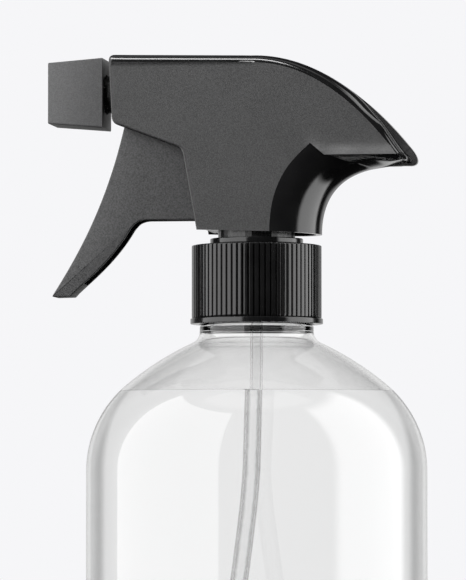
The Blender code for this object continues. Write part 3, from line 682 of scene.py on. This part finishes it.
# ---- closure and the pieces at the neck ----
def make_closure():
    """Screw cap with flat-topped ribs, a plain flange, a thread inside and a round hole in its roof.

    Each profile point is (radius, height, share of the ribs' depth).
    """
    low, high = CLOSURE_LOW.z, CLOSURE_HIGH.z
    flange_r = CLOSURE_HIGH.x
    flange_top = low + FLANGE_HEIGHT
    valley = RIB_R - RIB_DEPTH
    roof_under = high - CLOSURE_ROOF
    profile = [(r, z, 0.0) for r, z in rounded(
        [(CLOSURE_BORE_R + 0.5 * MM, low), (flange_r, low), (flange_r, flange_top),
         (valley, flange_top)], 0.25 * MM, 4)[:-1]]
    profile += [(valley, flange_top, 0.0), (valley, flange_top + 0.05 * MM, 0.6),
                (valley, flange_top + 0.25 * MM, 1.0)]
    side = line((valley, flange_top + 1.0 * MM), (valley, high - 0.5 * MM), 10)
    profile += [(r, z, 1.0) for r, z in side]
    top_round = 0.35 * MM
    for k in range(1, 7):
        turn = math.pi / 2 * k / 6
        profile.append((valley - top_round * (1 - math.cos(turn)), high - top_round * (1 - math.sin(turn)),
                        1.0 - smooth_step(0.0, 1.0, math.sin(turn) ** 2)))
    profile += [(r, z, 0.0) for r, z in rounded(
        [(valley - 1.0 * MM, high), (CLOSURE_HOLE_R, high), (CLOSURE_HOLE_R, roof_under),
         (CLOSURE_BORE_R, roof_under)], 0.2 * MM, 3)]
    thread_from = len(profile)
    bore = line((CLOSURE_BORE_R, roof_under - 0.3 * MM), (CLOSURE_BORE_R, low + 1.0 * MM), 44)
    profile += [(r, z, 0.0) for r, z in bore]
    thread_to = len(profile)
    start_z = THREAD_TOP_Z - THREAD_TURNS * PITCH - PITCH / 2

    def radius_at(i, turn, radius):
        if thread_from <= i < thread_to:
            crest = thread_crest(turn, profile[i][1], start_z, 0.95, 0.85 * MM)
            return radius - CLOSURE_THREAD_DEPTH * crest
        phase = (turn * RIB_COUNT / (2 * math.pi)) % 1.0
        rib = 1.0 - smooth_step(0.55, 1.0, abs(2 * phase - 1.0))
        return radius + RIB_DEPTH * rib * profile[i][2]

    cap = turned("closure_cap", [(r, z) for r, z, _ in profile], [CLOSURE_GLOSS], steps=RIB_COUNT * 10,
                 radius_at=radius_at, sharp=50.0)
    return keep(cap, "closure", "closure_black", "closure")


def make_retaining_ring():
    """Ring on the pump body's column, with rounded edges."""
    inner, outer = CLOSURE_HOLE_R, RING_HIGH.x
    low, high = RING_LOW.z, RING_HIGH.z
    middle = (low + high) / 2
    profile = rounded([(inner, middle), (inner, low), (outer, low), (outer, high), (inner, high),
                       (inner, middle)], 0.28 * MM, 5)[:-1]
    ring = turned("ring_moulding", profile, [GLOSS], steps=128)
    return keep(ring, "head", "closure_black", "retaining_ring")


def make_dip_tube():
    """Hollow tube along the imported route, open at both ends."""
    sides = 40
    path = smooth_route(TUBE_ROUTE, 24)
    loops = rings_along(path, TUBE_R, sides) + rings_along(path, TUBE_BORE_R, sides)[::-1]
    loops.append(loops[0])
    tube = loft("dip_tube_wall", loops, [TUBE], closed=False)
    return keep(tube, "head", "translucent_tube", "dip_tube")


# ---- shroud: matte side faces, glossy rounded back, a matte rim round the tail ----
def neck_curve(count):
    """Back line of the shroud's neck in the side view, from its bottom up to the underside of the tail."""
    return bezier(*mm_points((16.43, 184.3), (16.43, 201.2), (31.5, 201.4), (38.5, 201.3)), count)


def neck_edge(count):
    """Edge between the matte side and the neck's glossy round, from the bottom up to its apex."""
    return bezier(*mm_points((4.66, 184.66), (4.66, 198.5), (11.6, 203.4), (14.85, 206.5)), count)


SIDE_APEX, SIDE_CORNER, SIDE_TAIL = mm_points((14.85, 206.5), (18.4, 203.5), (36.4, 203.5))
SIDE_TOP_Z = 227.0 * MM


def shroud_stations():
    """Outline point, side-face point, outline half-width and rim width, from the front round to the neck.

    The widths are in millimetres until add() turns them into metres.
    """
    stations = []

    def add(outline, inner, flats, rims=None):
        rims = rims or [0.0] * len(outline)
        for point, match, flat, rim in zip(outline, inner, flats, rims):
            stations.append((point, match, flat * MM, rim * MM))

    plain, top_flat, tail_flat, rim_wide = 11.4, 10.5, 1.2, 1.9
    front = rounded(mm_points((-13.6, 185.2), (-17.25, 205.4), (-34.9, 212.0), (-35.8, 229.1),
                              (-24.0, 229.0)), 1.6 * MM, 6)[:-1]
    front_in = rounded(mm_points((-13.2, 185.2), (-16.85, 205.75), (-34.5, 212.4), (-35.4, 227.15),
                                 (-24.0, 227.1)), 1.5 * MM, 6)[:-1]
    tall = len(front) - 7
    add(front, front_in, [plain] * tall + [plain - 0.9 * k / 6 for k in range(7)])
    top = line(*mm_points((-30.0, 229.0), (-2.0, 228.55)), 14)
    top_in = line(*mm_points((-30.0, 227.1), (-2.0, 226.75)), 14)
    add(top, top_in, [top_flat] * 15)
    rise = 44
    back = bezier(*mm_points((0.0, 228.5), (20.0, 229.0), (34.75, 210.85), (38.8, 205.95)), rise)
    back_in = bezier(*mm_points((0.0, 226.7), (18.2, 226.9), (31.2, 210.2), (36.4, 203.5)), rise)
    narrower = top_flat - tail_flat
    add(back, back_in, [top_flat - narrower * (i / rise) ** 1.5 for i in range(rise + 1)],
        [rim_wide * smooth_step(0.45, 1.0, i / rise) for i in range(rise + 1)])
    tip = bezier(*mm_points((39.05, 205.65), (40.9, 203.4), (41.3, 201.5), (39.1, 201.3)), 12)
    add(tip, [SIDE_TAIL] * 13, [tail_flat] * 13, [rim_wide - 0.9 * k / 12 for k in range(13)])
    count = 44
    corner = 16
    under = neck_curve(count)[::-1]
    under_in = line(SIDE_TAIL, SIDE_CORNER, corner - 1)[:corner - 1] + [SIDE_CORNER]
    under_in += neck_edge(count - corner)[::-1]
    flats = [tail_flat * (1.0 - i / (corner - 1)) for i in range(corner)] + [0.0] * (count - corner + 1)
    rims = [1.0 * (1.0 - smooth_step(0.15, 0.9, i / (corner - 1))) for i in range(corner)]
    add(under, under_in, flats, rims + [0.0] * (count - corner + 1))
    return stations


def round_edge(wide, high, low):
    """16 (distance, y) points of a plain quarter ellipse from the side face in to the rim."""
    turns = [math.pi / 2 * k / 15 for k in range(16)]
    return [(wide * math.sin(turn), low + (high - low) * math.cos(turn)) for turn in turns]


def shelf_edge(wide, high, low):
    """16 (distance, y) points of a gentle shelf, a tight rounded corner and a wall down to the rim."""
    drop = 0.45 * MM
    corner = min(0.4 * MM, 0.4 * wide)
    flat = wide - corner
    points = [(flat * k / 6, high - drop * (k / 6) ** 2) for k in range(7)]
    lean = math.atan2(2 * drop, flat)
    for k in range(1, 6):
        turn = lean + (math.pi / 2 - lean) * k / 5
        points.append((flat + corner * (math.sin(turn) - math.sin(lean)) / (1 - math.sin(lean)),
                       high - drop - corner * (math.cos(lean) - math.cos(turn))))
    foot = points[-1][1]
    return points + [(wide, foot + (low - foot) * k / 4) for k in range(1, 5)]


RIM_FACE = 20                 # place of the rim's flat in edge_profile


def edge_profile(reach, half, flat, rim):
    """(distance from the side face's edge, y) points: a round or a shelf, a cove, the rim and its edge."""
    cove = min(0.3 * rim, 0.25 * reach)
    shelf = smooth_step(0.3 * MM, 1.2 * MM, rim)
    rim = max(rim, 0.02 * MM)
    wide = reach - rim - cove
    points = []
    for plain, stepped in zip(round_edge(wide, half, flat + cove), shelf_edge(wide, half, flat + cove)):
        points.append(tuple(a + (b - a) * shelf for a, b in zip(plain, stepped)))
    for k in range(1, 6):
        turn = math.pi / 2 * k / 5
        points.append((wide + cove * (1 - math.cos(turn)), flat + cove * (1 - math.sin(turn))))
    lip = min(0.18 * MM, 0.4 * rim, 0.5 * flat + 1e-6)
    for k in range(4):
        turn = math.pi / 2 * k / 3
        points.append((reach - lip * (1 - math.sin(turn)), flat - lip * (1 - math.cos(turn))))
    return points


def banded_solid(name, stations, half, materials):
    """A closed solid whose edges follow the stations.

    Its flat sides take the second material and its rim the third.
    """
    points = []
    for outline, match, flat, rim in stations:
        away = Vector(outline) - Vector(match)
        reach = away.length
        away.normalize()
        side = [(match[0] + away.x * d, y, match[1] + away.y * d)
                for d, y in edge_profile(reach, half, flat, rim)]
        points += [(x, -y, z) for x, y, z in side] + side[::-1]
    row = len(points) // len(stations)
    faces = []
    kinds = []
    for s in range(len(stations) - 1):
        wide_rim = stations[s][3] > 0.3 * MM
        for k in range(row - 1):
            a = s * row + k
            faces.append((a, a + 1, a + 1 + row, a + row))
            kinds.append(2 if wide_rim and k in (RIM_FACE, row - 2 - RIM_FACE) else 0)
    starts = [s * row for s in range(len(stations))]
    last = starts[-1]
    faces.append(tuple(starts[::-1]))
    faces.append(tuple(s + row - 1 for s in starts))
    faces.append(tuple(([k for k in range(row)] + [last + k for k in range(row - 1, -1, -1)])[::-1]))
    kinds += [1, 1, 0]
    return mesh_piece(name, points, faces, materials, kinds=kinds)


def grid_sides(piece, box_low, box_high, step, extra_z):
    """Cut the second material's flat faces into a grid, so that they can take a gentle shape."""
    work = bmesh.new()
    work.from_mesh(piece.data)
    cuts = []
    x = box_low.x + step
    while x < box_high.x:
        cuts.append((Vector((x, 0, 0)), Vector((1, 0, 0))))
        x += step
    z = box_low.z + step
    while z < box_high.z:
        cuts.append((Vector((0, 0, z)), Vector((0, 0, 1))))
        z += step
    cuts += [(Vector((0, 0, z)), Vector((0, 0, 1))) for z in extra_z]
    for place, normal in cuts:
        chosen = [f for f in work.faces if f.material_index == 1]
        geometry = set(chosen)
        for face in chosen:
            geometry.update(face.edges)
            geometry.update(face.verts)
        bmesh.ops.bisect_plane(work, geom=list(geometry), dist=1e-6, plane_co=place, plane_no=normal)
    work.to_mesh(piece.data)
    work.free()


def distance_to_run(point, a, b):
    ahead = Vector(b) - Vector(a)
    share = min(1.0, max(0.0, (Vector(point) - Vector(a)).dot(ahead) / ahead.length_squared))
    return (Vector(point) - Vector(a) - ahead * share).length


def side_relief(x, z):
    """How far the matte side stands out: flared above its lower edge, rolled in under the top edge."""
    flare, reach = 0.95 * MM, 3.0 * MM
    near = min(distance_to_run((x, z), SIDE_APEX, SIDE_CORNER),
               distance_to_run((x, z), SIDE_CORNER, SIDE_TAIL))
    fade = smooth_step(SIDE_APEX[0] - 1.0 * MM, SIDE_CORNER[0], x)
    out = flare * fade * max(0.0, 1.0 - near / reach) ** 1.5
    roll, depth = 0.4 * MM, 1.0 * MM
    share = max(0.0, 1.0 - max(0.0, SIDE_TOP_Z - z) / depth)
    return out - roll * share ** 2 * (1.0 - smooth_step(-6.0 * MM, 6.0 * MM, x))


def neck_cavity():
    """Half-round hollow of the shroud's neck, from below its bottom up into the head."""
    half = HEAD_HALF - SHROUD_WALL
    sections = []
    for (ox, oz), (mx, mz) in zip(neck_curve(28)[:17], neck_edge(16)):
        away = Vector((mx - ox, mz - oz))
        length = away.length
        away.normalize()
        section = []
        for k in range(25):
            turn = math.pi * (k / 24 - 0.5)
            reach = length - (length - SHROUD_WALL) * math.cos(turn)
            section.append((ox + away.x * reach, half * math.sin(turn), oz + away.y * reach))
        for y in (half, -half):
            section.append((mx + away.x * 2.0 * MM, y, mz + away.y * 2.0 * MM))
        sections.append(section)
    below = [(x, y, z - 8.0 * MM) for x, y, z in sections[0]]
    return loft("neck_cavity", [below] + sections, [GLOSS])


def make_shroud():
    """Hollow cover of the head, open below and in front of its neck for the trigger."""
    cover = banded_solid("shroud_cover", shroud_stations(), HEAD_HALF, [GLOSS, MATTE, RIM_MATTE])
    lower = [SIDE_CORNER[1] + rise * MM for rise in (0.25, 0.5, 0.8, 1.2, 1.7, 2.3)]
    upper = [SIDE_TOP_Z - drop * MM for drop in (0.15, 0.3, 0.5, 0.7, 0.9)]
    grid_sides(cover, SHROUD_LOW, SHROUD_HIGH, 1.6 * MM, lower + upper)
    for corner in cover.data.vertices:
        if abs(corner.co.y) > HEAD_HALF - 0.001 * MM:
            corner.co.y += math.copysign(side_relief(corner.co.x, corner.co.z), corner.co.y)
    half = HEAD_HALF - SHROUD_WALL
    outline = mm_points((-34.3, 176.0), (-34.3, 227.4), (0.0, 226.9))
    outline += bezier(*mm_points((0.0, 226.9), (13.0, 226.2), (24.0, 214.5), (29.0, 208.0)), 16)[1:]
    outline += mm_points((29.4, 205.6), (19.4, 205.2), (14.4, 208.4), (10.2, 204.6), (6.6, 199.6),
                         (5.0, 194.0), (4.4, 186.0), (4.4, 176.0))
    head_cavity = rounded_prism("head_cavity", outline, half, 0.4 * MM, [GLOSS])
    slot_outline = mm_points((-37.0, 205.0), (-33.0, 205.0), (-33.0, 220.0), (-37.0, 220.0))
    nose_slot = rounded_prism("nose_slot", slot_outline, NOSE_HOLE_R, 0.01 * MM, [GLOSS])
    nose_hole = rod("nose_hole", NOSE_HOLE_R, -37.2 * MM, -32.8 * MM, [GLOSS], "X", (0.0, SPRAY_Z))
    cut(cover, head_cavity, neck_cavity(), unite(nose_slot, nose_hole))
    return keep(cover, "head", "head_black", "shroud")


# ---- trigger ----
def make_trigger():
    """Finger lever: a channel of two side plates and a front wall, with rounded edges."""
    ear_r = 3.4 * MM
    front = bezier(*mm_points((-32.6, 213.0), (-37.35, 191.5), (-45.3, 178.4), (-51.3, 169.0)), 32)
    back = bezier(*mm_points((-46.5, 169.1), (-44.6, 171.6), (-36.7, 176.8), (-31.3, 186.0)), 20)
    tip = rounded([front[-2], front[-1], back[0], back[1]], 0.5 * MM, 4)[1:-1]
    rear = rounded([back[-1]] + mm_points((-29.9, 187.6), (-28.0, 188.2), (-13.9, 188.2), (-15.0, 194.7),
                                          (-16.2, 204.0), (-16.6, 209.2), (-19.2, 212.6)), 0.9 * MM, 5)
    outline = arc((PIVOT.x, PIVOT.z), ear_r, 0, 180, 24) + mm_points((-31.3, 215.8))
    outline += front[:-1] + tip + back[1:-1] + rear
    lever = rounded_prism("trigger_lever", outline, TRIGGER_HALF, 0.28 * MM, [TRIGGER_MATTE])
    wall = 1.9 * MM
    shifted = [(x + wall, z) for x, z in front if z > 172.5 * MM]
    channel = [(shifted[0][0], 214.6 * MM)] + shifted
    channel += mm_points((-42.0, 172.0), (-40.0, 165.0), (-5.0, 165.0), (-5.0, 230.0), (-45.0, 230.0),
                         (-45.0, 214.6))
    inner = TRIGGER_HALF - TRIGGER_WALL
    cut(lever, rounded_prism("channel", channel, inner, 0.25 * MM, [TRIGGER_MATTE]))
    cut(lever, rod("ear_holes", 2.0 * MM, -6.0 * MM, 6.0 * MM, [TRIGGER_MATTE], "Y", (PIVOT.x, PIVOT.z), 48))
    reach = inner + 0.6 * MM
    unite(lever, rod("bar", 1.3 * MM, -reach, reach, [TRIGGER_MATTE], "Y", (BAR.x, BAR.z), 48))
    return keep(lever, "trigger", "trigger_black", "trigger")


# ---- nozzle cap ----
def cap_section(x, half_width, half_height, corner):
    """A rectangle with rounded corners, as points at one place along X."""
    ring = []
    for start, sy, sz in ((0, 1, 1), (90, -1, 1), (180, -1, -1), (270, 1, -1)):
        centre = (sy * (half_width - corner), sz * (half_height - corner))
        ring += [(x, y, SPRAY_Z + z) for y, z in arc(centre, corner, start, start + 90, 5)]
    return ring


def make_nozzle_cap():
    """Square cap, taller at its back, with softened edges and a dished front round the spray hole."""
    back_x, front_x = CAP_HIGH.x, CAP_LOW.x
    back_half, front_half = CAP_HIGH.z - SPRAY_Z, 7.65 * MM
    wide = CAP_HIGH.y
    fillet = 0.2 * MM
    sections = []
    for end, half, sign in ((back_x, back_half, -1), (front_x, front_half, 1)):
        rings = []
        for k in range(5):
            turn = math.pi / 2 * k / 4
            inset = fillet * (1 - math.sin(turn))
            x = end + sign * fillet * (1 - math.cos(turn))
            rings.append(cap_section(x, wide - inset, half - inset, 0.4 * MM))
        sections += rings if sign < 0 else rings[::-1]
    cap = loft("nozzle_cap_shell", sections, [CAP_MATTE], sharp=40.0)
    bore = turned("cap_bore", mm_points(
        (0.0, -36.0), (5.2, -36.0), (5.0, -38.6), (5.0, -39.9), (5.6, -40.0), (5.6, -41.5), (5.0, -41.6),
        (5.0, -49.2), (2.3, -49.2), (2.3, -51.2), (3.6, -51.3), (4.6, -51.6), (5.1, -52.2), (0.0, -52.2)),
        [CAP_MATTE], "X", (0.0, SPRAY_Z), 96)
    cut(cap, bore)
    return keep(cap, "nozzle", "head_black", "nozzle_cap")


# ---- springs ----
def make_spring(name, node, radius, wire_r, turns, centre_z):
    """A round-wire compression spring along X, its end coils laid close."""
    low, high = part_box(node)
    first, last = low.x + wire_r, high.x - wire_r
    per_turn = 32
    count = int(turns * per_turn)
    path = []
    for i in range(count + 1):
        share = i / count
        close = 0.75 / turns
        if share < close:
            along = share * 2.1 * wire_r * turns / (last - first)
        elif share > 1 - close:
            along = 1 - (1 - share) * 2.1 * wire_r * turns / (last - first)
        else:
            edge = close * 2.1 * wire_r * turns / (last - first)
            along = edge + (1 - 2 * edge) * (share - close) / (1 - 2 * close)
        turn = 2 * math.pi * i / per_turn
        path.append(Vector((first + (last - first) * along, radius * math.cos(turn),
                            centre_z + radius * math.sin(turn))))
    spring = loft(name, rings_along(path, wire_r, 12), [STEEL])
    keep(spring, "head", "spring_steel", node)
    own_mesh(spring)
    return spring


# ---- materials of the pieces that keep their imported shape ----
def dress(node, material):
    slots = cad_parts[node].data.materials
    slots.clear()
    slots.append(material)


# ---- camera, light and floor ----
def make_camera():
    across = Vector((math.cos(CAMERA_YAW), math.sin(CAMERA_YAW), 0.0))
    out = Vector((math.sin(CAMERA_YAW), -math.cos(CAMERA_YAW), 0.0))
    place = out * CAMERA_DISTANCE + Vector((0.0, 0.0, CAMERA_HEIGHT))
    aim = -across * AIM_LEFT + Vector((0.0, 0.0, AIM_Z))
    data = bpy.data.cameras.new("camera")
    data.lens = LENS
    data.sensor_width = 36.0
    data.clip_start = 0.01
    camera = bpy.data.objects.new("camera", data)
    camera.location = place
    camera.rotation_euler = (aim - place).to_track_quat("-Z", "Y").to_euler()
    bpy.context.scene.collection.objects.link(camera)
    bpy.context.scene.camera = camera


def window(n, azimuth, height, left, right, bottom, top, soft):
    """1 inside a soft-edged window of directions, in degrees of azimuth and elevation, and 0 outside."""
    made = n.spread(azimuth, left - soft, left + soft, 0.0, 1.0, smooth=True)
    others = ((azimuth, right, 1.0, 0.0), (height, bottom, 0.0, 1.0), (height, top, 1.0, 0.0))
    for value, edge, before, after in others:
        made = n.math("MULTIPLY", made, n.spread(value, edge - soft, edge + soft, before, after, smooth=True))
    return made


def sky_directions(n):
    """Azimuth from the camera's side and elevation of a world direction, in degrees."""
    where = n.add("ShaderNodeTexCoord")
    axes = n.add("ShaderNodeSeparateXYZ")
    turn = n.add("ShaderNodeVectorRotate", rotation_type="Z_AXIS")
    turn.inputs["Angle"].default_value = -CAMERA_YAW
    n.link(where.outputs["Generated"], turn.inputs["Vector"])
    n.link(turn.outputs["Vector"], axes.inputs["Vector"])
    back = n.math("MULTIPLY", axes.outputs["Y"], -1.0)
    azimuth = n.math("MULTIPLY", n.math("ARCTAN2", axes.outputs["X"], back), 180 / math.pi)
    height = n.math("MULTIPLY", n.math("ARCSINE", axes.outputs["Z"]), 180 / math.pi)
    return azimuth, height


def panel_light(n, azimuth, height, wide):
    """What surfaces reflect: the soft panels, the low pale backdrop behind and a little ambient light."""
    level = n.spread(n.math("ABSOLUTE", height), 15.0, 28.0, BEHIND, 0.0, smooth=True)
    light = n.math("MULTIPLY", n.spread(wide, 132.0, 146.0, 0.0, 1.0, smooth=True), level)
    for *edges, strength in PANELS:
        light = n.math("ADD", light, n.math("MULTIPLY", window(n, azimuth, height, *edges), strength))
    return n.math("ADD", light, AMBIENT)


def light_through(n, wide):
    """What clear pieces show behind them: pale, with a darker band that draws their edges."""
    band = n.math("SUBTRACT", n.spread(wide, 112.0, 118.0, 0.0, 1.0, smooth=True),
                  n.spread(wide, 128.0, 136.0, 0.0, 1.0, smooth=True))
    return n.math("SUBTRACT", THROUGH, n.math("MULTIPLY", band, THROUGH_DIP))


def make_world():
    """Studio of large soft panels: bright left, softer right and overhead, and a pale plain background."""
    world = bpy.data.worlds.new("studio")
    world.use_nodes = True
    bpy.context.scene.world = world
    n = Nodes(world.node_tree)
    azimuth, height = sky_directions(n)
    wide = n.math("ABSOLUTE", azimuth)
    path = n.add("ShaderNodeLightPath")
    clear = n.math("MULTIPLY", path.outputs["Is Transmission Ray"],
                   n.math("SUBTRACT", 1.0, path.outputs["Is Camera Ray"]))
    shine = n.add("ShaderNodeMix", data_type="FLOAT")
    n.link(clear, shine.inputs["Factor"])
    n.link(panel_light(n, azimuth, height, wide), shine.inputs["A"])
    n.link(light_through(n, wide), shine.inputs["B"])
    lamp = n.add("ShaderNodeBackground")
    n.link(shine.outputs["Result"], lamp.inputs["Strength"])
    plain = n.add("ShaderNodeBackground")
    plain.inputs["Color"].default_value = (*BACKGROUND, 1.0)
    mix = n.add("ShaderNodeMixShader")
    n.link(path.outputs["Is Camera Ray"], mix.inputs[0])
    n.link(lamp.outputs[0], mix.inputs[1])
    n.link(plain.outputs[0], mix.inputs[2])
    out = n.add("ShaderNodeOutputWorld")
    n.link(mix.outputs[0], out.inputs["Surface"])


def area_lamp(name, shape, sizes, energy, place, aim):
    """An area light that the camera and clear pieces do not show."""
    data = bpy.data.lights.new(name, "AREA")
    data.shape = shape
    data.size, data.size_y = sizes
    data.energy = energy
    lamp = bpy.data.objects.new(name, data)
    lamp.location = place
    lamp.rotation_euler = (aim - lamp.location).to_track_quat("-Z", "Y").to_euler()
    lamp.visible_camera = False
    lamp.visible_transmission = False
    bpy.context.scene.collection.objects.link(lamp)
    return lamp


def make_side_lamp():
    """A soft lamp beside the nozzle that evens the matte faces; it leaves no highlight of its own."""
    lamp = area_lamp("side_lamp", "DISK", (60 * MM, 60 * MM), 0.35, Vector((-120, -160, 260)) * MM,
                     Vector((-20, 0, 205)) * MM)
    lamp.visible_glossy = False


def make_top_lamp(cover):
    """A bright strip overhead that only the shroud sees: it draws the highlights along its tilted edges."""
    lamp = area_lamp("top_lamp", "RECTANGLE", (300 * MM, 110 * MM), 2.0, Vector((-110, -420, 590)) * MM,
                     Vector((0, 0, 215)) * MM)
    receivers = bpy.data.collections.new("top_lamp_receivers")
    receivers.objects.link(cover)
    lamp.light_linking.receiver_collection = receivers


def make_floor():
    """A round pale floor just under the bottle, seen only where the camera looks at it directly."""
    profile = [(0.0, -12 * MM), (FLOOR_R, -12 * MM), (FLOOR_R, -1.0 * MM), (FLOOR_R - 1.0 * MM, FLOOR_TOP),
               (0.0, FLOOR_TOP)]
    floor = turned("studio_floor", profile, [floor_paint("floor_pale")], steps=128)
    floor.visible_glossy = False
    floor.visible_diffuse = False
    floor.visible_transmission = False


make_camera()
make_world()
make_side_lamp()
make_floor()
make_bottle()
make_liquid()
make_closure()
make_retaining_ring()
make_dip_tube()
make_top_lamp(make_shroud())
make_trigger()
make_nozzle_cap()
make_spring("return_coil", "return_spring", 4.3 * MM, 0.4 * MM, 6, PUMP_Z)
make_spring("outlet_coil", "outlet_spring", 2.1 * MM, 0.25 * MM, 7,
            SPRAY_Z)
PACKED_SHAPES = {
    BODY_BLACK: ("pump_body",),
    RUBBER: ("neck_gasket", "nozzle_seal", "piston_seal", "vent_seal"),
    PALE: ("tube_retainer", "swirl_insert", "piston", "outlet_valve", "orifice_cup"),
    STEEL: ("inlet_ball",),
}
for material, nodes in PACKED_SHAPES.items():
    for node in nodes:
        dress(node, material)
bpy.context.scene.view_settings.view_transform = "Standard"
